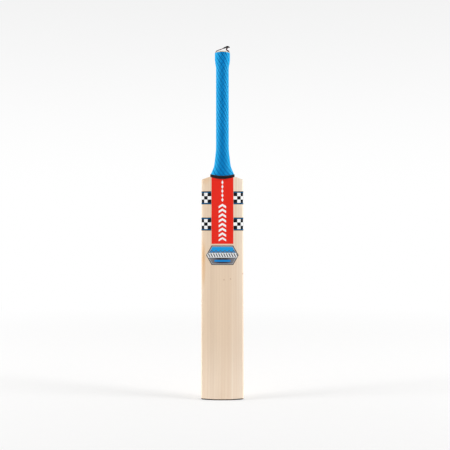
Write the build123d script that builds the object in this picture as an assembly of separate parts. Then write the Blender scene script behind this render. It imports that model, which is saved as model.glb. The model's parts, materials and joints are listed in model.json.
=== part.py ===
from build123d import *
import math
import os

# Cricket bat, full size, long handle. Millimetres.
# Origin: middle of the toe, on the handle's axis. +Z runs up to the handle's end.
# The playing face looks towards -Y, and the bat is symmetric left to right about X = 0.

# ---------------------------------------------------------------- driving dimensions
OVERALL_LENGTH = 875.0
REACH = 90.0                 # half-size of cutting prisms, more than the bat's own
MARGIN = 5.0                 # how far cutting shapes run on past the body they cut
TOLERANCE = 0.01             # for telling edges apart by where they lie

# Blade
SHOULDER_HEIGHT = 551.6      # where the shoulders' slope meets the blade's sides
SHOULDER_SLOPE = 18.5        # degrees, rising towards the handle
SHOULDER_ROUNDING = 4.0
TOE_HALF_WIDTH = 53.45
SIDE_TAPER = 0.0026          # half-width lost for each millimetre of height
FACE_FRONT = -17.5           # Y of the face's middle at the toe and at the shoulders
FACE_BOW = 4.0               # how far the face's middle lies back from a straight line
FACE_CROWN = 4.0             # how far the face's middle stands proud of its edges
FACE_EDGE_RADIUS = 4.5
BACK_EDGE_RADIUS = 7.0
SPINE_RADIUS = 25.0
FLANK_HOLLOW = 0.10          # hollow of the back's flanks, as a share of the spine's rise
TOE_FLAT_HALF_WIDTH = 20.0   # the toe is flat this far out, then rises towards its corners
TOE_SLOPE = 3.0              # degrees
TOE_GUARD_THICKNESS = 3.0
TOE_ROUNDING = 4.0

# Blade stations, evenly spaced from the toe up past the shoulders
BLADE_STATION_STEP = 80.0
EDGE_THICKNESSES = [20.0, 31.0, 36.0, 37.0, 35.5, 32.5, 28.0, 23.0, 19.0]
SPINE_THICKNESSES = [27.0, 48.0, 58.5, 60.0, 56.5, 50.0, 42.0, 35.0, 30.0]
BLADE_HEIGHT = 560.0         # span of the face's bow

# Bare cane handle
NECK_RADIUS = 13.5
NECK_START = 648.0           # the handle is round from here up
KNOB_START = 828.0
KNOB_END = 855.0
KNOB_SWELL = 3.0             # the handle's end is this much larger in radius
DOME_RADIUS = 45.0
DOME_EDGE_RADIUS = 2.5

# Oval stations of the handle's flared foot, evenly spaced and ending at the neck
FOOT_START = 552.0
FOOT_HALF_WIDTHS = [28.0, 28.0, 25.7, 22.0, 19.1, 17.5, 16.5, 15.6, 14.75, 13.95, 13.6, 13.5]
FOOT_HALF_DEPTHS = [16.9, 16.9, 16.8, 16.4, 15.8, 15.3, 14.9, 14.5, 14.1, 13.75, 13.55, 13.5]

# V splice, where the handle sits in the blade
SPLICE_TIP = 417.0
SPLICE_TIP_HALF_WIDTH = 2.0
SPLICE_MOUTH = 557.0
SPLICE_MOUTH_HALF_WIDTH = 25.0

# Cane slips: four layers of three, with spring strips between the layers
STRIP_THICKNESS = 1.75
STRIP_SPACING = 7.0
SLIP_SEAM = 4.5              # X of the seams between the three slips of a layer

# Coverings of the handle
TWINE_THICKNESS = 0.8
RUBBER_THICKNESS = 1.85
GRIP_RIM = 869.5
GRIP_RIM_ROUNDING = 0.85
TWINE_TOP = 868.0

# Thread binding round the shoulders. It dips in the middle of the face and of the back.
BINDING_HALF_WIDTH = 30.8
BINDING_HALF_DEPTH = 20.3
BINDING_LOW_MIDDLE = 552.4
BINDING_LOW_SIDE = 557.9
BINDING_HEIGHT = 7.8
BINDING_BLACK_SHARE = 0.6    # the black turns' share of the height, below the maroon ones

# Hanging loop of thread and its two tails
THREAD_RADIUS = 0.75
LOOP_AXIS_HEIGHT = 873.8
LOOP_LEFT = -16.4
LOOP_RIGHT = 17.0
KNOT_RADIUS = 1.9
KNOT_CENTRE = (12.9, 885.6)
LEFT_STRAND_BENDS = [(-11.5, 876.3), (-3.7, 878.6), (4.5, 881.8)]
RIGHT_STRAND_BENDS = [(13.3, 881.8), (10.6, 878.9), (12.4, 875.9)]
FREE_END_BENDS = [(16.2, 885.0), (17.8, 883.2)]
TAIL_OFFSET = 17.35          # the tails run down between the cane and the grip
TAIL_BEND = 870.5
TAIL_FOOT = 860.0
TAIL_GAP = 0.15              # between a tail's end and the loop's end above it
GROOVE_CLEARANCE = 0.05

# Labels
LABEL_THICKNESS = 0.25
FACE_LABEL_HALF_WIDTH = 27.15
FACE_LABEL_BOTTOM = 390.7
CHECK_LABEL_HEIGHT = 32.3
CHECK_LABEL_BOTTOMS = {"upper": 489.4, "lower": 423.9}
CHECK_LABEL_INNER = 27.9     # X where a check label starts, beside the face label
CHECK_LABEL_BACK = 38.0      # X where it ends, round on the back
BADGE_HALF_WIDTH = 40.5
BADGE_SHOULDER_HALF_WIDTH = 27.0
BADGE_BOTTOM = 338.0
BADGE_TOP = 386.4
BACK_LABEL_HALF_WIDTH = 24.0
BACK_LABEL_BOTTOM = 425.0
BACK_LABEL_TOP = 540.0

GRIP_THICKNESS = TWINE_THICKNESS + RUBBER_THICKNESS
KNOB_RADIUS = NECK_RADIUS + KNOB_SWELL


# ---------------------------------------------------------------- shared helpers
def front_prism(points):
    """A prism along Y whose outline, as (x, z) points, is seen from the face."""
    with BuildPart() as prism:
        with BuildSketch(Plane.XZ):
            with BuildLine():
                Polyline(*points, close=True)
            make_face()
        extrude(amount=REACH, both=True)
    return prism.part


def box_between(low, high):
    """A box from its lowest corner to its highest corner."""
    size = [high[i] - low[i] for i in range(3)]
    middle = [(high[i] + low[i]) / 2 for i in range(3)]
    return Pos(*middle) * Box(*size)


def oval(height, half_width, half_depth):
    """A level oval section."""
    with BuildSketch(Plane.XY.offset(height)) as section:
        Ellipse(half_width, half_depth)
    return section.sketch.faces()[0]


def thread(points):
    """A round thread through (x, z) points in the plane Y = 0, with rounded bends."""
    with BuildPart() as cord:
        with BuildLine() as path:
            Polyline(*[(x, 0, z) for x, z in points])
        with BuildSketch(Plane(origin=path.line @ 0, z_dir=path.line % 0)):
            Circle(THREAD_RADIUS)
        sweep(transition=Transition.ROUND)
    return cord.part


def write(shape, name):
    """Write one sub-part as parts/NAME.step."""
    solids = shape.solids()
    body = solids[0] if len(solids) == 1 else Compound(children=solids)
    body.label = name
    export_step(body, f"parts/{name}.step")


# ---------------------------------------------------------------- willow blade
def half_width_at(height):
    return TOE_HALF_WIDTH - SIDE_TAPER * height


def face_at(height):
    """Y of the face's middle line, which bows back between the toe and the shoulders."""
    t = height / BLADE_HEIGHT
    return FACE_FRONT + 4 * FACE_BOW * t * (1 - t)


def blade_section(height, edge_thickness, spine_thickness, grow):
    """Level section of the blade: crowned face, rounded edges, hollow flanks, spine."""
    w = half_width_at(height) + grow
    front = face_at(height) - grow
    front_edge = face_at(height) + FACE_CROWN - grow
    back_edge = face_at(height) + FACE_CROWN + edge_thickness + grow
    spine = face_at(height) + spine_thickness + grow
    flank = (back_edge + spine) / 2 - FLANK_HOLLOW * (spine - back_edge)
    with BuildSketch(Plane.XY.offset(height)) as section:
        with BuildLine():
            ThreePointArc((-w, front_edge), (0, front), (w, front_edge))
            Line((w, front_edge), (w, back_edge))
            ThreePointArc((w, back_edge), (w / 2, flank), (0, spine))
            ThreePointArc((0, spine), (-w / 2, flank), (-w, back_edge))
            Line((-w, back_edge), (-w, front_edge))
        make_face()
        corners = section.vertices().group_by(Axis.Y)
        fillet(corners[0], FACE_EDGE_RADIUS + grow)
        corners = section.vertices().filter_by(lambda v: abs(v.Y - back_edge) < TOLERANCE)
        fillet(corners, BACK_EDGE_RADIUS + grow)
        fillet(section.vertices().sort_by(Axis.Y)[-1], SPINE_RADIUS + grow)
    return section.sketch.faces()[0]


def blade_loft(grow=0.0):
    """The blade without its shoulders and toe shaped, grown all round by grow."""
    sections = []
    for i, (edge, spine) in enumerate(zip(EDGE_THICKNESSES, SPINE_THICKNESSES)):
        sections.append(blade_section(i * BLADE_STATION_STEP, edge, spine, grow))
    return loft(sections)


def toe_line(height):
    """The toe's outline from right to left, this far above the toe's flat."""
    corner = height + (REACH - TOE_FLAT_HALF_WIDTH) * math.tan(math.radians(TOE_SLOPE))
    return [
        (REACH, corner),
        (TOE_FLAT_HALF_WIDTH, height),
        (-TOE_FLAT_HALF_WIDTH, height),
        (-REACH, corner),
    ]


def shaped_blade(rough):
    """The rough blade with sloped shoulders, a seat for the binding, and rounded ends."""
    rise = math.tan(math.radians(SHOULDER_SLOPE))
    side = half_width_at(SHOULDER_HEIGHT)
    outer = SHOULDER_HEIGHT - (REACH - side) * rise
    inner = SHOULDER_HEIGHT + (side - BINDING_HALF_WIDTH) * rise
    with BuildPart() as prism:
        with BuildSketch(Plane.XZ):
            with BuildLine():
                seat = binding_arc(0.0)
                Polyline(
                    seat @ 1,
                    (BINDING_HALF_WIDTH, inner),
                    (REACH, outer),
                    *toe_line(0.0),
                    (-REACH, outer),
                    (-BINDING_HALF_WIDTH, inner),
                    seat @ 0,
                )
            make_face()
        extrude(amount=REACH, both=True)
    body = (rough & prism.part).solids()[0]
    slopes = body.edges().filter_by(
        lambda e: e.bounding_box().min.Z > SHOULDER_HEIGHT - 1.0
        and abs(e.center().X) > BINDING_HALF_WIDTH + TOLERANCE
    )
    body = fillet(slopes, SHOULDER_ROUNDING).solids()[0]
    # Only the toe's outer edges: not the two bends between its flat and its slopes.
    toe_edges = body.edges().filter_by(
        lambda e: e.bounding_box().max.Z < TOE_GUARD_THICKNESS
        and abs(abs(e.center().X) - TOE_FLAT_HALF_WIDTH) > TOLERANCE
    )
    return fillet(toe_edges, TOE_ROUNDING).solids()[0]


# ---------------------------------------------------------------- handle
def handle_core(grow, top, rounded_top=False):
    """The handle from inside the shoulders up to top, grown outwards by grow."""
    step = (NECK_START - FOOT_START) / len(FOOT_HALF_WIDTHS)
    sections = []
    for i, (half_width, half_depth) in enumerate(zip(FOOT_HALF_WIDTHS, FOOT_HALF_DEPTHS)):
        sections.append(oval(FOOT_START + i * step, half_width + grow, half_depth + grow))
    neck_radius = NECK_RADIUS + grow
    lower = loft(sections + [oval(NECK_START, neck_radius, neck_radius)])
    end_radius = KNOB_RADIUS + grow
    edge = top
    if rounded_top:
        edge = top - DOME_RADIUS + math.sqrt(DOME_RADIUS**2 - end_radius**2)
    with BuildPart() as upper:
        with BuildSketch(Plane.XZ) as profile:
            with BuildLine():
                Polyline(
                    (0, top), (0, NECK_START), (neck_radius, NECK_START), (neck_radius, KNOB_START)
                )
                Spline(
                    (neck_radius, KNOB_START),
                    (end_radius, KNOB_END),
                    tangents=[(0, 1), (0, 1)],
                )
                Line((end_radius, KNOB_END), (end_radius, edge))
                if rounded_top:
                    RadiusArc((end_radius, edge), (0, top), -DOME_RADIUS)
                else:
                    Line((end_radius, edge), (0, top))
            make_face()
            if rounded_top:
                corner = profile.vertices().sort_by(Axis.X)[-2:].sort_by(Axis.Y)[-1]
                fillet(corner, DOME_EDGE_RADIUS)
        revolve(axis=Axis.Z)
    return lower + upper.part


def splice_prism():
    """The V that divides the handle from the blade, carried on up past the handle."""
    slope = (SPLICE_MOUTH_HALF_WIDTH - SPLICE_TIP_HALF_WIDTH) / (SPLICE_MOUTH - SPLICE_TIP)
    top = OVERALL_LENGTH + MARGIN
    wide = SPLICE_TIP_HALF_WIDTH + slope * (top - SPLICE_TIP)
    return front_prism([
        (-SPLICE_TIP_HALF_WIDTH, SPLICE_TIP),
        (SPLICE_TIP_HALF_WIDTH, SPLICE_TIP),
        (wide, top),
        (-wide, top),
    ])


def handle_layers():
    """Y limits of the four cane layers and of the three spring strips between them."""
    half = STRIP_THICKNESS / 2
    middles = [-STRIP_SPACING, 0.0, STRIP_SPACING]
    strips = [(m - half, m + half) for m in middles]
    edges = [-REACH] + [y for strip in strips for y in strip] + [REACH]
    slips = [(edges[i], edges[i + 1]) for i in range(0, len(edges), 2)]
    return slips, strips


def slab(x_limits, y_limits):
    """A full-height slab of the space round the handle."""
    return box_between(
        (x_limits[0], y_limits[0], SPLICE_TIP - MARGIN),
        (x_limits[1], y_limits[1], OVERALL_LENGTH + MARGIN),
    )


# ---------------------------------------------------------------- binding and coverings
def binding_arc(rise):
    """The binding's saddle line, low in the middle of the face and higher at the sides."""
    side = BINDING_LOW_SIDE + rise
    return ThreePointArc(
        (-BINDING_HALF_WIDTH, side), (0, BINDING_LOW_MIDDLE + rise), (BINDING_HALF_WIDTH, side)
    )


def saddle_above(rise):
    """All the space above the saddle line that lies this far above the binding's foot."""
    side = BINDING_LOW_SIDE + rise
    top = OVERALL_LENGTH + MARGIN
    with BuildPart() as space:
        with BuildSketch(Plane.XZ):
            with BuildLine():
                arc = binding_arc(rise)
                Polyline(arc @ 1, (REACH, side), (REACH, top), (-REACH, top), (-REACH, side), arc @ 0)
            make_face()
        extrude(amount=REACH, both=True)
    return space.part


def binding_band(core, low, high):
    """A band of thread turns round the shoulders, between two heights above its foot."""
    foot = BINDING_LOW_MIDDLE - MARGIN
    top = BINDING_LOW_SIDE + BINDING_HEIGHT + MARGIN
    base = oval(foot, BINDING_HALF_WIDTH, BINDING_HALF_DEPTH)
    block = extrude(base, amount=top - foot, dir=(0, 0, 1))
    return (block & saddle_above(low)) - saddle_above(high) - core


def twine_sleeve(tails):
    """The wound thread under the grip."""
    sleeve = handle_core(TWINE_THICKNESS, TWINE_TOP) - handle_core(0.0, OVERALL_LENGTH)
    return (sleeve & saddle_above(BINDING_HEIGHT)) - tails


def rubber_grip(tails):
    """The rubber sleeve, with a rounded rim at the handle's end."""
    sleeve = handle_core(GRIP_THICKNESS, GRIP_RIM) - handle_core(TWINE_THICKNESS, OVERALL_LENGTH)
    rim = sleeve.edges().filter_by(lambda e: abs(e.center().Z - GRIP_RIM) < TOLERANCE)
    sleeve = fillet(rim, GRIP_RIM_ROUNDING)
    return (sleeve & saddle_above(BINDING_HEIGHT)) - tails


# ---------------------------------------------------------------- hanging loop
def hanging_loop():
    """Thread rising from the left, a knot with a free end, and a kinked way back down."""
    left_strand = thread([(LOOP_LEFT, LOOP_AXIS_HEIGHT)] + LEFT_STRAND_BENDS + [KNOT_CENTRE])
    right_strand = thread([KNOT_CENTRE] + RIGHT_STRAND_BENDS + [(LOOP_RIGHT, LOOP_AXIS_HEIGHT)])
    free_end = thread([KNOT_CENTRE] + FREE_END_BENDS)
    knot = Pos(KNOT_CENTRE[0], 0, KNOT_CENTRE[1]) * Sphere(KNOT_RADIUS)
    return left_strand + right_strand + free_end + knot


def loop_tails():
    """The loop's two ends, which run down between the cane and the grip."""
    top = LOOP_AXIS_HEIGHT - THREAD_RADIUS - TAIL_GAP
    left = thread([(LOOP_LEFT, top), (-TAIL_OFFSET, TAIL_BEND), (-TAIL_OFFSET, TAIL_FOOT)])
    right = thread([(LOOP_RIGHT, top), (TAIL_OFFSET, TAIL_BEND), (TAIL_OFFSET, TAIL_FOOT)])
    return left + right


def tail_grooves():
    """The room that the two tails take up in the twine and in the rubber."""
    radius = THREAD_RADIUS + GROOVE_CLEARANCE
    length = TAIL_BEND - TAIL_FOOT
    groove = Cylinder(radius, length) + Pos(0, 0, length / 2) * Sphere(radius)
    groove += Pos(0, 0, -length / 2) * Sphere(radius)
    middle = (TAIL_BEND + TAIL_FOOT) / 2
    return Pos(-TAIL_OFFSET, 0, middle) * groove + Pos(TAIL_OFFSET, 0, middle) * groove


# ---------------------------------------------------------------- labels
def label(grown, rough, space):
    """The thin skin of the blade's surface that lies in a given space."""
    return (grown & space) - rough


def face_label(grown, rough):
    low = (-FACE_LABEL_HALF_WIDTH, -REACH, FACE_LABEL_BOTTOM)
    high = (FACE_LABEL_HALF_WIDTH, 0, BINDING_LOW_SIDE)
    return label(grown, rough, box_between(low, high) - saddle_above(0.0))


def check_label(grown, rough, side, bottom):
    """A label that starts beside the face label and wraps the edge onto the back."""
    top = bottom + CHECK_LABEL_HEIGHT
    strip = box_between((CHECK_LABEL_INNER, -REACH, bottom), (REACH, REACH, top))
    strip -= box_between((0, 0, bottom - MARGIN), (CHECK_LABEL_BACK, REACH, top + MARGIN))
    if side == "left":
        strip = mirror(strip, about=Plane.YZ)
    return label(grown, rough, strip)


def badge(grown, rough):
    middle = (BADGE_BOTTOM + BADGE_TOP) / 2
    outline = [
        (-BADGE_SHOULDER_HALF_WIDTH, BADGE_BOTTOM),
        (BADGE_SHOULDER_HALF_WIDTH, BADGE_BOTTOM),
        (BADGE_HALF_WIDTH, middle),
        (BADGE_SHOULDER_HALF_WIDTH, BADGE_TOP),
        (-BADGE_SHOULDER_HALF_WIDTH, BADGE_TOP),
        (-BADGE_HALF_WIDTH, middle),
    ]
    front_half = box_between((-REACH, -REACH, 0), (REACH, 0, OVERALL_LENGTH))
    return label(grown, rough, front_prism(outline) & front_half)


def back_label(grown, rough):
    space = box_between(
        (-BACK_LABEL_HALF_WIDTH, 0, BACK_LABEL_BOTTOM), (BACK_LABEL_HALF_WIDTH, REACH, BACK_LABEL_TOP)
    )
    return label(grown, rough, space)


# ---------------------------------------------------------------- the bat
def write_blade_and_handle():
    """Write the blade, the toe guard, the cane slips and the spring strips."""
    rough = blade_loft()
    body = shaped_blade(rough)
    core = handle_core(0.0, OVERALL_LENGTH, rounded_top=True)
    whole = body + core
    splice = splice_prism()
    toe = front_prism(toe_line(TOE_GUARD_THICKNESS) + [(-REACH, -REACH), (REACH, -REACH)])
    write(whole - splice - toe, "blade")
    write(body & toe, "toe_guard")
    handle = whole & splice
    slips, strips = handle_layers()
    columns = {
        "left": (-REACH, -SLIP_SEAM),
        "middle": (-SLIP_SEAM, SLIP_SEAM),
        "right": (SLIP_SEAM, REACH),
    }
    for layer, y_limits in zip(["front", "inner_front", "inner_back", "back"], slips):
        for column, x_limits in columns.items():
            write(handle & slab(x_limits, y_limits), f"cane_slip_{layer}_{column}")
    for strip, y_limits in zip(["rubber_strip_front", "cork_strip_middle", "rubber_strip_back"], strips):
        write(handle & slab((-REACH, REACH), y_limits), strip)
    return rough, whole


def write_coverings(whole):
    """Write the twine, the grip, the binding, the hanging loop and its tails."""
    grooves = tail_grooves()
    write(twine_sleeve(grooves), "twine_sleeve")
    write(rubber_grip(grooves), "grip")
    split = BINDING_HEIGHT * BINDING_BLACK_SHARE
    write(binding_band(whole, 0.0, split), "binding_black")
    write(binding_band(whole, split, BINDING_HEIGHT), "binding_maroon")
    write(hanging_loop(), "hanging_loop")
    write(loop_tails(), "loop_tails")


def write_labels(rough):
    """Write the labels, each a thin skin on the blade."""
    grown = blade_loft(LABEL_THICKNESS)
    write(face_label(grown, rough), "face_label")
    write(badge(grown, rough), "badge")
    write(back_label(grown, rough), "back_label")
    for place, bottom in CHECK_LABEL_BOTTOMS.items():
        for side in ("left", "right"):
            write(check_label(grown, rough, side, bottom), f"check_label_{place}_{side}")


def main():
    os.makedirs("parts", exist_ok=True)
    rough, whole = write_blade_and_handle()
    write_coverings(whole)
    write_labels(rough)


main()
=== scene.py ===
import json
import math

import bpy
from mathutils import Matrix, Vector
from mathutils.bvhtree import BVHTree


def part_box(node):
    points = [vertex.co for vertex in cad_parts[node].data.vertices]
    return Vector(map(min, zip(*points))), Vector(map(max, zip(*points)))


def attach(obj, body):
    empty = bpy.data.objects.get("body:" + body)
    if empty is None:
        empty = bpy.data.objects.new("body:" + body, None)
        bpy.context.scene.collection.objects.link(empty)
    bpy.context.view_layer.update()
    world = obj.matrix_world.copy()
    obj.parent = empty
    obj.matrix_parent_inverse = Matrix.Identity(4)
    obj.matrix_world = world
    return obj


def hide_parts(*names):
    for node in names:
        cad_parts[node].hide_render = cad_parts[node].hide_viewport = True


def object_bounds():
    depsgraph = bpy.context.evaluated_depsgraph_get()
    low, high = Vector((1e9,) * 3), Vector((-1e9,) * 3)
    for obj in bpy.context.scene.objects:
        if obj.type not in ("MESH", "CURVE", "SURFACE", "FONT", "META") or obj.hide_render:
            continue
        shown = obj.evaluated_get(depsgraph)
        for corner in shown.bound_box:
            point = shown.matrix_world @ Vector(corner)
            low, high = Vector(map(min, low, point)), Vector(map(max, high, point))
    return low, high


# The looks of a cricket bat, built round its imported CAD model. Metres, in the model's own frame:
# the toe stands on z = 0, the face looks towards -Y and the handle runs up the Z axis.

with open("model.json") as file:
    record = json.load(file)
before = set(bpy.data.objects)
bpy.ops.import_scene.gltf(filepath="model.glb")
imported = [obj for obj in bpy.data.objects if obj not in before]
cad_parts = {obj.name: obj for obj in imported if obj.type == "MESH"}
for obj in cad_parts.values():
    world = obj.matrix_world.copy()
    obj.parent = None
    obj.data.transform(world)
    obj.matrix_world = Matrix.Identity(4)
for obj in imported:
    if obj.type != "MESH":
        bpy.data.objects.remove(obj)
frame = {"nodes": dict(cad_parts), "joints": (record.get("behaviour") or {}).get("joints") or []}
cad_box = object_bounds()
nodes = frame["nodes"]
MM = 0.001


# ---------------------------------------------------------------- places taken from the frame
GRIP_LOW, GRIP_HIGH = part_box("grip")
BLACK_LOW, BLACK_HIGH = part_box("binding_black")
MAROON_LOW, MAROON_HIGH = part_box("binding_maroon")
TWINE_LOW, TWINE_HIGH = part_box("twine_sleeve")
LOOP_LOW, LOOP_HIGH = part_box("hanging_loop")
TAILS_LOW, TAILS_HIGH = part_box("loop_tails")
LABEL_LOW, LABEL_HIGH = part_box("face_label")
BACK_LOW, BACK_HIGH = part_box("back_label")
BADGE_LOW, BADGE_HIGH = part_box("badge")
BLADE_LOW, BLADE_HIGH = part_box("blade")
LOOP_AXIS = Vector(frame["joints"][0]["pos_m"])

# The binding's foot is an arc across the bat, low in the middle and higher at the sides.
BAND_HALF_WIDTH = BLACK_HIGH.x
BAND_HALF_DEPTH = BLACK_HIGH.y
BLACK_HEIGHT = MAROON_LOW.z - BLACK_LOW.z
FOOT_SIDE = BLACK_HIGH.z - BLACK_HEIGHT
BAND_HEIGHT = MAROON_HIGH.z - FOOT_SIDE
FOOT_RISE = FOOT_SIDE - BLACK_LOW.z
FOOT_RADIUS = (BAND_HALF_WIDTH**2 + FOOT_RISE**2) / (2 * FOOT_RISE)


def foot_height(x):
    """Height of the binding's foot at a place across the bat."""
    reach = min(abs(x), BAND_HALF_WIDTH)
    return BLACK_LOW.z + FOOT_RADIUS - math.sqrt(FOOT_RADIUS**2 - reach**2)


def ellipse_reach(half_width, half_depth, angle):
    """Distance from an ellipse's centre to its edge, in a direction."""
    across = half_depth * math.cos(angle)
    along = half_width * math.sin(angle)
    return half_width * half_depth / math.hypot(across, along)


# ---------------------------------------------------------------- shader arithmetic
class Field:
    """A number that varies over a surface: a shader socket that can be used in formulas."""

    def __init__(self, graph, socket):
        self.graph = graph
        self.socket = socket

    def __add__(self, other):
        return self.graph.math("ADD", self, other)

    def __radd__(self, other):
        return self.graph.math("ADD", other, self)

    def __sub__(self, other):
        return self.graph.math("SUBTRACT", self, other)

    def __rsub__(self, other):
        return self.graph.math("SUBTRACT", other, self)

    def __mul__(self, other):
        return self.graph.math("MULTIPLY", self, other)

    def __rmul__(self, other):
        return self.graph.math("MULTIPLY", other, self)

    def __truediv__(self, other):
        return self.graph.math("DIVIDE", self, other)

    def __abs__(self):
        return self.graph.math("ABSOLUTE", self)

    def __lt__(self, other):
        return self.graph.math("LESS_THAN", self, other)

    def __gt__(self, other):
        return self.graph.math("GREATER_THAN", self, other)

    def fraction(self):
        return self.graph.math("FRACT", self)

    def floor(self):
        return self.graph.math("FLOOR", self)

    def at_most(self, other):
        return self.graph.math("MINIMUM", self, other)

    def at_least(self, other):
        return self.graph.math("MAXIMUM", self, other)

    def power(self, other):
        return self.graph.math("POWER", self, other)


class Graph:
    """One material's node tree, with short calls for the nodes that the materials use."""

    def __init__(self, name=None, tree=None):
        if tree is None:
            self.material = bpy.data.materials.new(name)
            self.material.use_nodes = True
            tree = self.material.node_tree
        self.tree = tree
        self.tree.nodes.clear()

    def node(self, kind, inputs, **settings):
        """A new shader node with its settings and inputs."""
        made = self.tree.nodes.new("ShaderNode" + kind)
        for key, value in settings.items():
            setattr(made, key, value)
        for key, value in inputs.items():
            self.feed(made.inputs[key], value)
        return made

    def feed(self, socket, value):
        """Links a field or another node's output to a socket, or sets a plain value."""
        if isinstance(value, Field):
            value = value.socket
        if isinstance(value, bpy.types.NodeSocket):
            self.tree.links.new(value, socket)
        else:
            socket.default_value = value

    def math(self, operation, a, b=0.0):
        made = self.node("Math", {0: a, 1: b}, operation=operation)
        return Field(self, made.outputs[0])

    def position(self):
        """The three coordinates in the model's frame; they stay with a piece when it moves."""
        place = self.node("TexCoord", {}).outputs["Object"]
        parts = self.node("SeparateXYZ", {0: place})
        return [Field(self, out) for out in parts.outputs]

    def normal(self):
        """The surface's direction in the model's frame."""
        direction = self.node("TexCoord", {}).outputs["Normal"]
        parts = self.node("SeparateXYZ", {0: direction})
        return [Field(self, out) for out in parts.outputs]

    def facing_away(self):
        """0 where the surface faces the camera, rising to 1 where it is seen edge on."""
        return Field(self, self.node("LayerWeight", {"Blend": 0.5}).outputs["Facing"])

    def vector(self, x, y, z):
        return self.node("CombineXYZ", {0: x, 1: y, 2: z}).outputs[0]

    def noise(self, x, y, z, detail):
        """Smooth noise from 0 to 1 with features about one unit of its coordinates wide."""
        inputs = {"Vector": self.vector(x, y, z), "Scale": 1.0, "Detail": detail, "Roughness": 0.5}
        return Field(self, self.node("TexNoise", inputs).outputs[0])

    def cells(self, x, y, z):
        """Distance to the nearest of a set of scattered points, about one unit apart."""
        made = self.node("TexVoronoi", {"Vector": self.vector(x, y, z), "Scale": 1.0})
        return Field(self, made.outputs["Distance"])

    def ramp(self, value, low, high):
        """0 where value is below low, 1 above high, and smooth between; low may be the larger."""
        inputs = {"Value": value, "From Min": low, "From Max": high, "To Min": 0.0, "To Max": 1.0}
        made = self.node("MapRange", inputs, interpolation_type="SMOOTHSTEP")
        return Field(self, made.outputs[0])

    def spot(self, x, z, centre, size):
        """A soft spot on the face: 1 at its centre and 0 beyond its size, both as (x, z)."""
        across = (x - centre[0]) / size[0]
        up = (z - centre[1]) / size[1]
        return self.ramp(across * across + up * up, 1.0, 0.0)

    def mix(self, a, b, factor):
        """Colour a where factor is 0, and colour b where it is 1."""
        made = self.node("Mix", {"Factor": factor}, data_type="RGBA")
        sockets = [s for s in made.inputs if s.type == "RGBA"]
        self.feed(sockets[0], a)
        self.feed(sockets[1], b)
        return [s for s in made.outputs if s.type == "RGBA"][0]

    def shade(self, colour, factor):
        """A colour made lighter or darker by a factor that varies about 1."""
        grey = self.vector(factor, factor, factor)
        made = self.node("Mix", {"Factor": 1.0}, data_type="RGBA", blend_type="MULTIPLY")
        sockets = [s for s in made.inputs if s.type == "RGBA"]
        self.feed(sockets[0], colour)
        self.feed(sockets[1], grey)
        return [s for s in made.outputs if s.type == "RGBA"][0]

    def mark(self, name):
        """A value that was stored for each point of the mesh."""
        return Field(self, self.node("Attribute", {}, attribute_name=name).outputs["Fac"])

    def finish(self, colour, roughness, relief, depth, **extra):
        """Ends the tree in a Principled surface; relief is a height from 0 to 1 of this depth."""
        inputs = {"Base Color": colour, "Roughness": roughness}
        inputs.update({key.replace("_", " "): value for key, value in extra.items()})
        bump = self.node("Bump", {"Height": relief, "Distance": depth, "Strength": 1.0})
        inputs["Normal"] = bump.outputs[0]
        surface = self.node("BsdfPrincipled", inputs)
        self.node("OutputMaterial", {"Surface": surface.outputs[0]})
        return self.material


def rgb(red, green, blue):
    """An opaque colour in linear light."""
    return (red, green, blue, 1.0)


# ---------------------------------------------------------------- wood and inner parts
WILLOW_PALE = rgb(0.83, 0.655, 0.485)
WILLOW_TAN = rgb(0.745, 0.55, 0.39)
WILLOW_LINE = rgb(0.66, 0.45, 0.30)
WILLOW_WHITE = rgb(0.89, 0.775, 0.645)
HEARTWOOD = rgb(0.76, 0.47, 0.235)
PIN_KNOT = rgb(0.52, 0.30, 0.17)

# Spots of heartwood near the left edge: (distance from it, height), (half-width, half-height)
# and strength.
HEART_STREAK = ((6 * MM, 335 * MM), (6.5 * MM, 62 * MM), 0.62)
HEART_FAINT = ((5 * MM, 372 * MM), (9 * MM, 40 * MM), 0.35)
HEART_SHOULDER = ((12 * MM, 556 * MM), (13 * MM, 22 * MM), 0.4)

PIN_KNOT_PLACES = ((4 * MM, 301 * MM), (20.4 * MM, 303 * MM), (50.6 * MM, 316 * MM))
PIN_KNOT_SIZE = (2.2 * MM, 3.2 * MM)

# A slightly darker strip left of the middle: its centre and half-sizes, as (x, z).
SHADED_STRIP = ((-27 * MM, 190 * MM), (16 * MM, 220 * MM))

RING_WIDTH = 7.2 * MM
RING_WAVER = 7 * MM              # slow wandering of all the rings together
RING_DRIFT = 9 * MM              # change of their spacing across the blade


def heartwood_patches(g, x, z):
    """Where the heart of the tree shows: a streak down the left edge and a tint at its shoulder."""
    total = 0.0
    for (inwards, height), size, strength in (HEART_STREAK, HEART_FAINT, HEART_SHOULDER):
        total = g.spot(x, z, (BLADE_LOW.x + inwards, height), size) * strength + total
    return total.at_most(1.0)


def sapwood(g, x, z):
    """Where the willow is whiter: towards its right edge, its toe and its right shoulder."""
    right = g.ramp(x, 2 * MM, 44 * MM) * 0.55
    toe = g.ramp(z, 200 * MM, -10 * MM) * 0.55
    shoulder = g.spot(x, z, (BLADE_HIGH.x - 8 * MM, 545 * MM), (40 * MM, 70 * MM)) * 0.60
    return (right + toe + shoulder).at_most(1.0)


def pin_knots(g, x, y, z):
    """Small knots that show on the face only."""
    knots = 0.0
    for centre in PIN_KNOT_PLACES:
        knots = g.spot(x, z, centre, PIN_KNOT_SIZE) + knots
    return knots * (y < 0.0)


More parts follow.
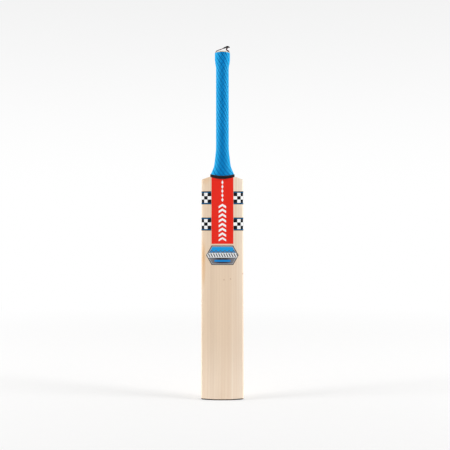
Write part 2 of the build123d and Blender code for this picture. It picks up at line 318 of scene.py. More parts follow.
def willow_tone_and_painted_light(g, x, z, nx):
    """Slow changes of lightness over the wood: paler right and left edges and toe, darker flanks. The
    paler right side and toe are partly the wood's own tone and partly painted light; the darker flanks
    are painted shade that tempers the strong side light.
    """
    # paler right side and toe: partly the wood's own tone, partly painted light
    right = g.ramp(x, -20 * MM, 45 * MM) * 0.020
    left = g.ramp(x, -24 * MM, -46 * MM) * 0.035
    toe = g.ramp(z, 150 * MM, 0.0) * 0.095
    # painted shade on the flanks, where the side lights fall strongest
    flanks = g.ramp(abs(nx), 0.90, 0.99) * 0.15
    shaded = g.spot(x, z, *SHADED_STRIP) * 0.03
    return 1.0 + right + left + toe - flanks - shaded


def willow():
    """Pale willow: growth rings square to the face, fine fibre along the blade, small flecks."""
    g = Graph("willow_wood")
    x, y, z = g.position()
    waver = g.noise(x * 8, y * 8, z * 2.2, detail=1) - 0.5
    drift = g.noise(x * 30, y * 5, z * 0.6, detail=0) - 0.5
    across = x + waver * RING_WAVER + drift * RING_DRIFT
    ring = (across / RING_WIDTH).fraction()
    late_wood = g.ramp(ring, 0.45, 0.93) * g.ramp(ring, 1.0, 0.95)
    streak = g.noise(across * 95, y * 12, z * 1.3, detail=2)
    broad = g.noise(across * 26, y * 9, z * 1.6, detail=1)
    fibre = g.noise(x * 1500, y * 900, z * 16, detail=3)
    fleck = g.ramp(g.noise(x * 620, y * 620, z * 70, detail=1), 0.66, 0.78)
    tone = g.ramp(streak * 0.55 + broad * 0.45, 0.32, 0.68)
    pale = g.mix(WILLOW_PALE, WILLOW_WHITE, sapwood(g, x, z))
    colour = g.mix(pale, WILLOW_TAN, tone * 0.52)
    colour = g.mix(colour, WILLOW_LINE, late_wood * 0.16)
    colour = g.mix(colour, HEARTWOOD, heartwood_patches(g, x, z))
    colour = g.mix(colour, PIN_KNOT, pin_knots(g, x, y, z) * 0.55)
    lightness = willow_tone_and_painted_light(g, x, z, g.normal()[0]) + (fibre - 0.5) * 0.10 - fleck * 0.05
    relief = fibre * 0.7 + (1.0 - late_wood) * 0.2
    return g.finish(
        g.shade(colour, lightness),
        0.42 + fibre * 0.14,
        relief,
        0.045 * MM,
        Coat_Weight=0.06,
        Coat_Roughness=0.35,
    )


CANE_SLIPS = 12


def cane(index):
    """Sarawak cane: long bundles of fibre, with open pores where the slip's end shows."""
    g = Graph(f"cane_{index:02d}")
    x, y, z = g.position()
    shift = index * 0.37             # so that no two slips have the same pattern
    bundle = g.noise(x * 950 + shift, y * 950, z * 9, detail=3)
    stain = g.noise(x * 90, y * 90 + shift, z * 6, detail=1)
    pore = g.cells(x * 1150 + shift, y * 1150, z * 3)
    end = g.ramp(g.normal()[2], 0.6, 0.85)
    dark = g.ramp(pore, 0.34, 0.16) * end + g.ramp(bundle, 0.60, 0.75) * (1.0 - end) * 0.6
    tint = 0.94 + 0.12 * ((index * 5) % CANE_SLIPS) / CANE_SLIPS
    base = rgb(0.72 * tint, 0.545 * tint, 0.335 * tint)
    colour = g.mix(base, rgb(0.42, 0.26, 0.13), dark * 0.6)
    colour = g.mix(colour, rgb(0.80, 0.66, 0.47), stain * 0.35)
    return g.finish(colour, 0.62, 1.0 - dark, 0.12 * MM)


def cork():
    """Pressed cork: brown grains with dark specks."""
    g = Graph("cork_sheet")
    x, y, z = g.position()
    grain = g.cells(x * 900, y * 900, z * 900)
    speck = g.ramp(g.noise(x * 700, y * 700, z * 700, detail=2), 0.58, 0.7)
    colour = g.mix(rgb(0.50, 0.31, 0.16), rgb(0.64, 0.44, 0.26), grain)
    colour = g.mix(colour, rgb(0.16, 0.08, 0.04), speck * 0.8)
    return g.finish(colour, 0.85, grain, 0.2 * MM)


def strip_rubber():
    """Dark rubber sheet between the layers of cane."""
    g = Graph("strip_rubber")
    x, y, z = g.position()
    grain = g.noise(x * 1400, y * 1400, z * 1400, detail=3)
    colour = g.mix(rgb(0.045, 0.04, 0.038), rgb(0.10, 0.09, 0.085), grain)
    return g.finish(colour, 0.6 + grain * 0.2, grain, 0.08 * MM)


def toe_rubber():
    """The toe guard's brown rubber, scuffed grey where it meets the ground; its near-black is the
    rubber's dark brown deepened by painted shade, so the line under the toe stays dark against the
    floor's bounce light.
    """
    g = Graph("toe_rubber")
    x, y, z = g.position()
    grain = g.noise(x * 900, y * 900, z * 900, detail=4)
    scuff = g.noise(x * 140, y * 260, z * 500, detail=3)
    wear_and_sheen = g.ramp(scuff, 0.5, 0.72) * g.ramp(z, 1.6 * MM, 0.2 * MM)
    # near-black: the rubber's dark brown, deepened by painted shade
    colour = g.mix(rgb(0.010, 0.005, 0.004), rgb(0.022, 0.012, 0.010), grain)
    colour = g.mix(colour, rgb(0.15, 0.12, 0.10), wear_and_sheen * 0.2)
    return g.finish(colour, 0.6 + grain * 0.2, grain, 0.08 * MM, Specular_IOR_Level=0.12)


# ---------------------------------------------------------------- grip and threads
def grip_rubber():
    """Soft blue rubber with painted light: paler where it turns away from the view, a painted highlight
    on the ribs' crests and painted shade in the grooves.
    """
    g = Graph("grip_rubber")
    x, y, z = g.position()
    groove = g.mark("groove")
    crest = g.mark("crest")
    bloom = g.noise(x * 260, y * 260, z * 200, detail=3)
    grain = g.noise(x * 3200, y * 3200, z * 3200, detail=2)
    # slow patches that vary the strength of the painted crest highlight
    wear_and_sheen = g.noise(x * 45, y * 45, z * 22, detail=2)
    # painted light: lit and shaded copies of the blue, paler where the surface turns away from the view
    turned = g.ramp(g.facing_away().power(0.5), 0.05, 0.62)
    front = g.mix(rgb(0.0, 0.160, 0.50), rgb(0.0, 0.190, 0.56), bloom)
    side = g.mix(rgb(0.0, 0.365, 0.71), rgb(0.004, 0.405, 0.77), bloom)
    colour = g.mix(front, side, turned)
    # painted highlight on the ribs' crests
    bright = g.mix(rgb(0.002, 0.30, 0.72), rgb(0.07, 0.52, 0.86), turned)
    colour = g.mix(colour, bright, crest * (0.45 + g.ramp(wear_and_sheen, 0.40, 0.70) * 0.45))
    # painted shade in the grooves
    shade = g.mix(rgb(0.0, 0.045, 0.20), rgb(0.0, 0.145, 0.40), turned)
    colour = g.mix(colour, shade, groove * 0.90)
    return g.finish(colour, 0.50 + bloom * 0.16, grain, 0.03 * MM, Specular_IOR_Level=0.06)


def thread(name, pale, dark, roughness, shine=0.25):
    """Twisted thread: fine filaments, with painted shade between the plies."""
    g = Graph(name)
    x, y, z = g.position()
    valley = g.mark("valley")
    filament = g.noise(x * 2600, y * 2600, z * 2600, detail=3)
    tone = g.noise(x * 220, y * 220, z * 220, detail=1)
    # painted shade: the valleys between the plies are darkened
    colour = g.mix(dark, pale, (filament * 0.7 + tone * 0.5) * (1.0 - valley * 0.7))
    return g.finish(colour, roughness, filament, 0.06 * MM, Specular_IOR_Level=shine)


# ---------------------------------------------------------------- printed labels
PRINT_WHITE = rgb(0.93, 0.94, 0.94)
PRINT_BLACK = rgb(0.005, 0.005, 0.008)
PRINT_BLUE = rgb(0.0, 0.090, 0.225)
LABEL_RED = rgb(0.80, 0.020, 0.010)
FILM_RELIEF = 0.02 * MM
LABEL_MARGIN = 9 * MM            # plain red below the lowest chevron

CHEVRONS = 8
CHEVRON_HALF_WIDTH = 9.2 * MM
CHEVRON_SLOPE = 0.62             # how much an arm falls for each step outwards
FACE_CHEVRONS_HEIGHT = 95 * MM
FACE_LOZENGES = 5
FACE_LOZENGE_PITCH = 10.8 * MM
FACE_LOZENGE_FOOT = 110 * MM     # the lowest one's centre above the label's lower edge
FACE_LOZENGE_SIZE = (2.8 * MM, 5.4 * MM)
BACK_CHEVRONS_BELOW_TOP = 28 * MM
BACK_LOZENGE_LIFT = 42 * MM      # above the back label's middle
BACK_LOZENGE_SIZE = (4.5 * MM, 9 * MM)


def film(g, colour, x, y, z):
    """Printed vinyl: a smooth film that shows the wood's fibre faintly and has tiny flaws."""
    fibre = g.noise(x * 700, y * 700, z * 12, detail=2)
    ink = g.noise(x * 900, y * 900, z * 900, detail=2)
    colour = g.shade(colour, 0.97 + ink * 0.06)
    return g.finish(colour, 0.36 + fibre * 0.1, fibre, FILM_RELIEF, Specular_IOR_Level=0.12)


def chevron_column(x, z, low, high):
    """A column of upward chevrons between two heights."""
    pitch = (high - low) / CHEVRONS
    arm = z + abs(x) * CHEVRON_SLOPE
    phase = ((arm - low) / pitch).fraction()
    inside = (abs(x) < CHEVRON_HALF_WIDTH) * (arm > low + pitch * 0.25) * (arm < high)
    return (phase > 0.18) * (phase < 0.66) * inside


def lozenge(x, z, centre, size):
    """A diamond on the middle line, with its half-width and half-height as size."""
    return (abs(x) / size[0] + abs(z - centre) / size[1]) < 1.0


def label_red(name, low, high, column_low, column_high, lozenges):
    """Red film with a column of white chevrons, white lozenges and a fine deeper red rim."""
    g = Graph(name)
    x, y, z = g.position()
    white = chevron_column(x, z, column_low, column_high)
    for centre, size in lozenges:
        white = white.at_least(lozenge(x, z, centre, size))
    edge = ((high.x - abs(x)).at_most(z - low.z)).at_most(high.z - z)
    rim = g.ramp(edge, 1.3 * MM, 0.7 * MM)
    sheen = g.noise(x * 40, y * 10, z * 9, detail=1)
    red = g.mix(LABEL_RED, rgb(0.84, 0.030, 0.017), sheen)
    red = g.mix(red, rgb(0.86, 0.014, 0.008), rim * 0.8)
    return film(g, g.mix(red, PRINT_WHITE, white), x, y, z)


def label_face():
    """The long red label: chevrons, and a row of small lozenges above them."""
    column_low = LABEL_LOW.z + LABEL_MARGIN
    foot = LABEL_LOW.z + FACE_LOZENGE_FOOT
    lozenges = [(foot + i * FACE_LOZENGE_PITCH, FACE_LOZENGE_SIZE) for i in range(FACE_LOZENGES)]
    return label_red(
        "face_label_film",
        LABEL_LOW,
        LABEL_HIGH,
        column_low,
        column_low + FACE_CHEVRONS_HEIGHT,
        lozenges,
    )


def label_back():
    """The shorter red label on the back: chevrons, and one lozenge above them."""
    middle = (BACK_LOW.z + BACK_HIGH.z) / 2
    return label_red(
        "back_label_film",
        BACK_LOW,
        BACK_HIGH,
        BACK_LOW.z + LABEL_MARGIN,
        BACK_HIGH.z - BACK_CHEVRONS_BELOW_TOP,
        [(middle + BACK_LOZENGE_LIFT, BACK_LOZENGE_SIZE)],
    )


CHECK_STRIP = 3.6 * MM           # blue strip and black line together
CHECK_LINE = 1.2 * MM
CHECK_COLUMN = 9.1 * MM
CHECK_ROWS = 3
CHECK_FRONT_BEND = 1.8 * MM      # from the label's front to where it bends round the side
CHECK_BACK_BEND = 8 * MM         # from its back to where it leaves the side


def label_check(node):
    """A chequered film with dark lines and blue strips along its top and bottom edges."""
    g = Graph(node + "_film")
    x, y, z = g.position()
    low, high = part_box(node)
    inner = min(abs(low.x), abs(high.x))
    outer = max(abs(low.x), abs(high.x))
    front_edge = low.y + CHECK_FRONT_BEND
    depth = high.y - CHECK_BACK_BEND - front_edge
    # Distance from the inner edge, measured over the face, round the side and onto the back.
    face_run = abs(x) - inner + (y - front_edge).at_least(0.0).at_most(depth)
    back_run = outer - inner + depth + (outer - abs(x))
    on_back = g.normal()[1] > 0.55
    run = face_run * (1.0 - on_back) + back_run * on_back
    row_height = (high.z - low.z - 2 * CHECK_STRIP) / CHECK_ROWS
    column = (run / CHECK_COLUMN).floor()
    row = ((z - low.z - CHECK_STRIP) / row_height).floor()
    odd = ((column + row) * 0.5).fraction() > 0.25
    colour = g.mix(PRINT_BLACK, PRINT_WHITE, odd)
    edge = (z - low.z).at_most(high.z - z)
    colour = g.mix(colour, PRINT_BLUE, edge < CHECK_STRIP)
    colour = g.mix(colour, PRINT_BLACK, edge < CHECK_LINE)
    return film(g, colour, x, y, z)


BADGE_TOP_HALF_WIDTH = 27 * MM
BADGE_OUTLINE = 1.9 * MM
BADGE_RING = 3.4 * MM            # outline and grey ring together
BAND_HALF_HEIGHT = 7 * MM
BAND_LINE = 6.0 * MM             # dark lines run from here to the band's edges
SLASH_HALF_HEIGHT = 4.4 * MM
SLASH_PITCH = 6.4 * MM
SLASH_LEAN = 0.5
BAR_LOW = -16.5 * MM             # blue bar's heights, from the badge's middle
BAR_HIGH = -11.5 * MM
BAR_HALF_WIDTH = 20 * MM
RIDGE_PITCH = 11 * MM            # zigzag line above the band
RIDGE_LIFT = 8.5 * MM
RIDGE_HEIGHT = 9 * MM
RIDGE_THICKNESS = 2.4 * MM
LEFT_OF_BADGE = 60 * MM          # keeps the repeats' coordinates above zero
BADGE_DARK = rgb(0.035, 0.033, 0.040)
BADGE_GREY = rgb(0.42, 0.43, 0.45)
BAND_PALE = rgb(0.78, 0.79, 0.80)
BAND_SLASH = rgb(0.045, 0.045, 0.055)


def badge_field(g, x, z, centre, half_height):
    """The badge's ground: blue with a zigzag line above, dark with a blue bar below."""
    shine = g.ramp(z, centre - half_height, centre + half_height)
    blue = g.mix(rgb(0.006, 0.22, 0.62), rgb(0.012, 0.34, 0.76), shine)
    outwards = g.ramp(abs(x), 6 * MM, 30 * MM)
    lower = g.mix(rgb(0.050, 0.048, 0.056), rgb(0.20, 0.20, 0.22), outwards)
    bar = (z < centre + BAR_HIGH) * (z > centre + BAR_LOW) * (abs(x) < BAR_HALF_WIDTH)
    colour = g.mix(blue, lower, (z < centre) * (1.0 - bar))
    peaks = abs(((x + LEFT_OF_BADGE) / RIDGE_PITCH).fraction() - 0.5) * RIDGE_HEIGHT
    ridge = (z - centre - RIDGE_LIFT) - peaks
    return g.mix(colour, rgb(0.09, 0.10, 0.12), (ridge < 0.0) * (ridge > -RIDGE_THICKNESS))


def badge_band(g, x, z, centre, up):
    """The pale band across the badge: slanting dark slashes between two dark lines."""
    leaning = x + (z - centre) * SLASH_LEAN + LEFT_OF_BADGE
    slash = ((leaning / SLASH_PITCH).fraction() < 0.42) * (up < SLASH_HALF_HEIGHT)
    pale = g.mix(BAND_PALE, BAND_SLASH, slash)
    return g.mix(pale, rgb(0.05, 0.05, 0.06), up > BAND_LINE)


def label_badge():
    """A plain hexagonal badge: dark outline, grey ring, two-part field and a band across it."""
    g = Graph("badge_film")
    x, y, z = g.position()
    centre = (BADGE_LOW.z + BADGE_HIGH.z) / 2
    half_height = (BADGE_HIGH.z - BADGE_LOW.z) / 2
    slope = (BADGE_HIGH.x - BADGE_TOP_HALF_WIDTH) / half_height
    up = abs(z - centre)
    side = (BADGE_HIGH.x - up * slope - abs(x)) / math.sqrt(1 + slope**2)
    edge = side.at_most(half_height - up)
    colour = badge_field(g, x, z, centre, half_height)
    colour = g.mix(colour, BADGE_GREY, edge < BADGE_RING)
    colour = g.mix(colour, BADGE_DARK, edge < BADGE_OUTLINE)
    inside_band = (up < BAND_HALF_HEIGHT) * (edge > 1.2 * MM)
    colour = g.mix(colour, badge_band(g, x, z, centre, up), inside_band)
    return film(g, colour, x, y, z)


# ---------------------------------------------------------------- mesh building
def add_piece(name, points, faces, material, body, stands_for, marks):
    """A new mesh piece that stands for a CAD node and rides on a body. marks: values per point."""
    mesh = bpy.data.meshes.new(name)
    mesh.from_pydata(points, [], faces)
    mesh.shade_smooth()
    for label, values in marks.items():
        layer = mesh.attributes.new(label, "FLOAT", "POINT")
        layer.data.foreach_set("value", values)
    mesh.materials.append(material)
    piece = bpy.data.objects.new(name, mesh)
    bpy.context.scene.collection.objects.link(piece)
    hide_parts(stands_for)
    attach(piece, body)


def ring_faces(rows, columns, closed):
    """Four-sided faces between rings of points; closed joins the last ring to the first."""
    faces = []
    for row in range(rows if closed else rows - 1):
        below = row * columns
        above = (row + 1) % rows * columns
        for column in range(columns):
            after = (column + 1) % columns
            faces.append((below + column, below + after, above + after, above + column))
    return faces


def surface_tree(node):
    """A CAD node's surface, ready for finding where a ray meets it."""
    mesh = nodes[node].data
    corners = [v.co.copy() for v in mesh.vertices]
    return BVHTree.FromPolygons(corners, [tuple(p.vertices) for p in mesh.polygons])


RAY_START = 200 * MM             # well outside the handle


def outer_radius(tree, angle, height):
    """Radius of a CAD sleeve's outside in a direction and at a height."""
    outwards = Vector((math.cos(angle), math.sin(angle), 0))
    start = outwards * RAY_START + Vector((0, 0, height))
    hit = tree.ray_cast(start, -outwards)[0]
    return math.hypot(hit.x, hit.y)


# ---------------------------------------------------------------- grip
GRIP_RIBS = 12
GRIP_PITCH = 167 * MM            # height in which a rib goes once round the handle
GRIP_CROSS_STARTS = 11           # fine cuts that cross the ribs the other way
GRIP_CROSS_PITCH = 205 * MM
GRIP_COLUMNS = GRIP_RIBS * 24
GRIP_ROWS = 400
GRIP_WALL = 1.85 * MM
GROOVE_DEPTH = 0.70 * MM
MIDDLE_DEPTH = 0.35 * MM         # a shallow groove along the middle of each rib
CROSS_DEPTH = 0.28 * MM
GROOVE_HALF_WIDTH = 0.19         # half-widths of the grooves and cuts, as shares of their spacing
MIDDLE_HALF_WIDTH = 0.10
CROSS_HALF_WIDTH = 0.12
RIB_ROUNDING = 0.14 * MM
CREST_PLACE = 0.62               # the painted highlight's brightest line, on the way from a groove (0) to a rib's middle (1)
CREST_FLAT = 0.06                # the brightness starts to fall off this far from it
CREST_REACH = 0.24               # and has gone here
PLAIN_RIM_TOP = 0.8 * MM         # the ribs fade out between these heights below the rim
PLAIN_RIM = 3.0 * MM
RIM_STEPS = 8
INNER_ROWS = 41                  # rows of the smooth inner wall
EDGE_ROUNDING = 0.7 * MM
EDGE_MARGIN = 0.4 * MM           # the CAD sleeve is felt at least this far above its edge
RIM_MARGIN = 1.2 * MM            # and this far below its rim
FIRST_ROW = 0.6                  # the outer wall starts this share of a row above the edge


def soft_step(value, low, high):
    """0 below low, 1 above high, and smooth between."""
    share = min(1.0, max(0.0, (value - low) / (high - low)))
    return share * share * (3 - 2 * share)


def groove_share(phase, width):
    """1 in the middle of a groove and 0 on the rib, for a phase that repeats every 1."""
    distance = abs(phase - round(phase))
    return 1 - soft_step(distance, width * 0.35, width)


def grip_pattern(angle, height):
    """Depth below the rib tops, share of painted groove shade and share of painted crest highlight at a
    place on the grip.
    """
    turn = angle / (2 * math.pi)
    rib = (turn + height / GRIP_PITCH) * GRIP_RIBS
    cross = (turn - height / GRIP_CROSS_PITCH) * GRIP_CROSS_STARTS
    groove = groove_share(rib, GROOVE_HALF_WIDTH)
    middle = groove_share(rib + 0.5, MIDDLE_HALF_WIDTH)
    cut = groove_share(cross, CROSS_HALF_WIDTH)
    crown = 2 * abs(rib - round(rib))
    depth = max(groove * GROOVE_DEPTH, middle * MIDDLE_DEPTH, cut * CROSS_DEPTH)
    depth = depth + (1 - crown) * RIB_ROUNDING
    crest = (1 - soft_step(abs(crown - CREST_PLACE), CREST_FLAT, CREST_REACH)) * (1 - cut * 0.6)
    return depth, max(groove, middle * 0.35, cut * 0.4), crest


def grip_edge(angle):
    """Height of the grip's lower edge, where it sits on the binding."""
    reach = ellipse_reach(GRIP_HIGH.x, GRIP_HIGH.y, angle)
    return foot_height(reach * math.cos(angle)) + BAND_HEIGHT


def grip_place(start_angle, share, top):
    """Angle and height on the grip, whose columns follow its ribs, a share of the way up."""
    height = top * share + GRIP_LOW.z * (1 - share)
    for _ in range(4):
        angle = start_angle - 2 * math.pi * (height - GRIP_LOW.z) / GRIP_PITCH
        height = top * share + grip_edge(angle) * (1 - share)
    return angle, height


def build_grip():
    """The ribbed rubber sleeve: outer wall, rounded rim, smooth inner wall, lower edge."""
    tree = surface_tree("grip")
    rim_radius = GRIP_WALL / 2
    wall_top = GRIP_HIGH.z - rim_radius
    points = []
    grooves = []
    crests = []

    def add_row(share, inset, lift, ribbed):
        for column in range(GRIP_COLUMNS):
            start = 2 * math.pi * column / GRIP_COLUMNS
            angle, height = grip_place(start, share, wall_top)
            probe = min(max(height, grip_edge(angle) + EDGE_MARGIN), GRIP_HIGH.z - RIM_MARGIN)
            radius = outer_radius(tree, angle, probe)
            depth, groove, crest = grip_pattern(angle, height)
            fade = ribbed * soft_step(GRIP_HIGH.z - height, PLAIN_RIM_TOP, PLAIN_RIM)
            radius = radius - inset - depth * fade
            points.append((radius * math.cos(angle), radius * math.sin(angle), height + lift))
            grooves.append(groove * fade)
            crests.append(crest * fade)

    add_row(0.0, EDGE_ROUNDING, 0.05 * MM, 0.0)
    add_row(0.0, 0.2 * MM, 0.15 * MM, 0.5)
    for row in range(GRIP_ROWS + 1):
        add_row((row + FIRST_ROW) / (GRIP_ROWS + FIRST_ROW), 0.0, 0.0, 1.0)
    for step in range(1, RIM_STEPS + 1):
        turn = math.pi * step / RIM_STEPS
        add_row(1.0, rim_radius * (1 - math.cos(turn)), rim_radius * math.sin(turn), 0.0)
    for row in reversed(range(INNER_ROWS)):
        add_row(row / INNER_ROWS, GRIP_WALL, 0.0, 0.0)
    faces = ring_faces(len(points) // GRIP_COLUMNS, GRIP_COLUMNS, closed=True)
    add_piece(
        "grip_sleeve", points, faces, grip_rubber(), "bat", "grip",
        {"groove": grooves, "crest": crests},
    )


# ---------------------------------------------------------------- twine under the grip
TWINE_PITCH = 1.05 * MM
TWINE_COLUMNS = 60
TWINE_ROWS_PER_TURN = 4
TWINE_SWELL = 0.28 * MM
TWINE_WALL = 0.8 * MM
TWINE_INSET = 0.05 * MM          # keeps the winding just inside the CAD sleeve
TWINE_INNER_ROWS = 12


def build_twine():
    """The thread wound along the handle, one turn above the other, under the grip."""
    tree = surface_tree("twine_sleeve")
    rows = round((TWINE_HIGH.z - TWINE_LOW.z) / TWINE_PITCH) * TWINE_ROWS_PER_TURN
    points = []
    valleys = []

    def add_row(share, inset, wound):
        for column in range(TWINE_COLUMNS):
            angle = 2 * math.pi * column / TWINE_COLUMNS
            height = TWINE_HIGH.z * share + (grip_edge(angle) + 0.1 * MM) * (1 - share)
            probe = min(max(height, grip_edge(angle) + 0.5 * MM), TWINE_HIGH.z - 0.2 * MM)
            radius = outer_radius(tree, angle, probe)
            turns = height / TWINE_PITCH - column / TWINE_COLUMNS
            valley = 1 - abs(math.sin(math.pi * turns))
            radius = radius - inset - wound * valley * TWINE_SWELL
            points.append((radius * math.cos(angle), radius * math.sin(angle), height))
            valleys.append(wound * valley)

    for row in range(rows + 1):
        add_row(row / rows, TWINE_INSET, 1.0)
    for row in range(TWINE_INNER_ROWS, -1, -1):
        add_row(row / TWINE_INNER_ROWS, TWINE_WALL, 0.0)
    faces = ring_faces(len(points) // TWINE_COLUMNS, TWINE_COLUMNS, closed=True)
    linen = thread("linen_twine", rgb(0.62, 0.52, 0.37), rgb(0.20, 0.15, 0.09), 0.7)
    add_piece(
        "twine_winding", points, faces, linen, "bat", "twine_sleeve", {"valley": valleys}
    )


# ---------------------------------------------------------------- cords
CORD_SIDES = 16
PLY_DEPTH = 0.30


def ply_outline(turn):
    """Radius of a two-ply cord's outline, as a share, in a direction from its middle."""
    return 1 - PLY_DEPTH * (1 - abs(math.cos(turn)))


def cord(path, outward, half_sizes, ply_pitch, closed):
    """Points, faces and ply valleys of a twisted cord along a path.

    outward(point) gives a direction to measure the cord's section from. half_sizes are the
    section's half-sizes along that direction and square to it. An open cord has rounded ends.
    """
    count = len(path)
    lengths = [0.0]
    for i in range(1, count):
        lengths.append(lengths[-1] + (path[i] - path[i - 1]).length)
    whole = lengths[-1] + ((path[0] - path[-1]).length if closed else 0)
    if closed:
        ply_pitch = whole / max(1, round(whole / ply_pitch))
    points = []
    valleys = []
    for i in range(count):
        before = path[i - 1] if closed or i else path[0]
        after = path[(i + 1) % count] if closed else path[min(i + 1, count - 1)]
        along = (after - before).normalized()
        out = outward(path[i])
        out = (out - along * out.dot(along)).normalized()
        side = along.cross(out)
        ends = 1.0
        if not closed:
            from_end = min(lengths[i], whole - lengths[i]) / half_sizes[1]
            ends = math.sqrt(max(0.02, 1 - (1 - min(1.0, from_end)) ** 2))
        for j in range(CORD_SIDES):
            turn = 2 * math.pi * j / CORD_SIDES
            ply = turn - math.pi * 2 * lengths[i] / ply_pitch
            share = ply_outline(ply) * ends
            place = out * (math.cos(turn) * half_sizes[0]) + side * (math.sin(turn) * half_sizes[1])
            points.append(path[i] + place * share)
            valleys.append((1 - ply_outline(ply)) / PLY_DEPTH)
    faces = ring_faces(count, CORD_SIDES, closed)
    if not closed:
        faces.append(tuple(reversed(range(CORD_SIDES))))
        faces.append(tuple(range((count - 1) * CORD_SIDES, count * CORD_SIDES)))
    return points, faces, valleys


def add_cords(name, cords, material, body, stands_for):
    """Several cords as one piece."""
    points = []
    faces = []
    valleys = []
    for more_points, more_faces, more_valleys in cords:
        base = len(points)
        points += [tuple(p) for p in more_points]
        faces += [tuple(base + i for i in face) for face in more_faces]
        valleys += more_valleys
    add_piece(name, points, faces, material, body, stands_for, {"valley": valleys})


def smooth_path(corners, steps):
    """A smooth Catmull-Rom curve through points, with this many steps between each pair."""
    ends = [corners[0] * 2 - corners[1]] + corners + [corners[-1] * 2 - corners[-2]]
    path = []
    for i in range(1, len(ends) - 2):
        a, b, c, d = ends[i - 1], ends[i], ends[i + 1], ends[i + 2]
        for step in range(steps):
            t = step / steps
            bend = (a * 2 - b * 5 + c * 4 - d) * t**2
            twist = (b * 3 - a - c * 3 + d) * t**3
            path.append((b * 2 + (c - a) * t + bend + twist) / 2)
    return path + [corners[-1]]


# ---------------------------------------------------------------- binding at the shoulders
BINDING_STEPS = 420
BINDING_CORD_DEPTH = 1.55 * MM   # half-size of a turn, square to the handle
BINDING_PLY_PITCH = 5.2 * MM
BINDING_OVERLAP = 1.1            # how much taller a turn is than its share of the height
BLACK_TURNS = 4
MAROON_TURNS = 3


def from_axis(point):
    """The direction from the handle's axis to a point."""
    return Vector((point.x, point.y, 0))


def binding_turns(low, height, turns):
    """The turns of one thread, which fill a height that starts this far above the foot."""
    half_height = height / turns / 2
    half_width = BAND_HALF_WIDTH - BINDING_CORD_DEPTH
    half_depth = BAND_HALF_DEPTH - BINDING_CORD_DEPTH
    cords = []
    for turn in range(turns):
        lift = low + half_height * (2 * turn + 1)
        path = []
        for step in range(BINDING_STEPS):
            angle = -2 * math.pi * step / BINDING_STEPS
            reach = ellipse_reach(half_width, half_depth, angle)
            x = reach * math.cos(angle)
            path.append(Vector((x, reach * math.sin(angle), foot_height(x) + lift)))
        sizes = (BINDING_CORD_DEPTH, half_height * BINDING_OVERLAP)
        cords.append(cord(path, from_axis, sizes, BINDING_PLY_PITCH, True))
    return cords


def build_binding():
    """Black turns at the shoulders, and maroon turns above them, up to the grip's edge."""
    black = thread("black_binding_thread", rgb(0.013, 0.021, 0.030), rgb(0.002, 0.003, 0.004), 0.55)
    maroon = thread("maroon_binding_thread", rgb(0.075, 0.028, 0.030), rgb(0.014, 0.006, 0.007), 0.55)
    low_turns = binding_turns(0.0, BLACK_HEIGHT, BLACK_TURNS)
    high_turns = binding_turns(BLACK_HEIGHT, BAND_HEIGHT - BLACK_HEIGHT, MAROON_TURNS)
    add_cords("binding_black_turns", low_turns, black, "bat", "binding_black")
    add_cords("binding_maroon_turns", high_turns, maroon, "bat", "binding_maroon")


# ---------------------------------------------------------------- hanging loop
LOOP_CORD = 1.10 * MM            # half-thicknesses of the cords
STRAND_CORD = 1.62 * MM
KNOT_CORD = 2.0 * MM
TAIL_CORD = 0.75 * MM
LOOP_PLY_PITCH = 3.6 * MM
TAIL_GAP = 0.45 * MM             # lets the folded loop turn without touching its tails
TAIL_LIFT = 0.4 * MM             # from the foot of the CAD tails to the cords' ends
PATH_STEPS = 14

KNOT_STEPS = 90
KNOT_WIDTH = 0.72 * MM
KNOT_HEIGHT = 0.42 * MM
KNOT_DEPTH = 0.95 * MM
KNOT_TIGHTNESS = 0.7             # the knot's own cord, as a share of the cords that leave it


def in_loop(across, up, depth=0.0):
    """A point near the loop's plane: shares of the CAD loop's width and height, and a depth."""
    width = LOOP_HIGH.x - LOOP_LOW.x
    height = LOOP_HIGH.z - LOOP_AXIS.z
    return Vector((LOOP_LOW.x + across * width, depth, LOOP_AXIS.z + up * height))


LOOP_START = in_loop(0.012, 0.0)
LOOP_END = in_loop(0.960, 0.0)
KNOT = in_loop(0.835, 0.86)


def to_front(_):
    """The direction towards the face, from any point."""
    return Vector((0, -1, 0))


def from_knot(point):
    """The direction from just in front of the knot's middle to a point."""
    return point - KNOT + Vector((0, 0.1 * MM, 0))


def knot_path():
    """An overhand knot, pulled tight: a small trefoil round the place where the strands meet."""
    path = []
    for step in range(KNOT_STEPS):
        t = 2 * math.pi * step / KNOT_STEPS
        x = (math.sin(t) + 2 * math.sin(2 * t)) * KNOT_WIDTH
        z = (math.cos(t) - 2 * math.cos(2 * t)) * KNOT_HEIGHT
        y = -math.sin(3 * t) * KNOT_DEPTH
        path.append(KNOT + Vector((x, y, z)))
    return path


def loop_cord(size, *corners):
    """An open cord with this half-thickness through points near the loop's plane."""
    path = smooth_path(list(corners), PATH_STEPS)
    return cord(path, to_front, (size, size), LOOP_PLY_PITCH, False)


def loop_strands():
    """The thread that rises from the left foot, and the one that turns back down to the right foot."""
    left = loop_cord(
        LOOP_CORD,
        LOOP_START,
        in_loop(0.149, 0.20),
        in_loop(0.371, 0.40),
        in_loop(0.56, 0.60),
    )
    right = loop_cord(
        STRAND_CORD,
        KNOT,
        in_loop(0.82, 0.60),
        in_loop(0.768, 0.42),
        in_loop(0.81, 0.22),
        in_loop(0.90, 0.10),
        LOOP_END,
    )
    return [left, right]


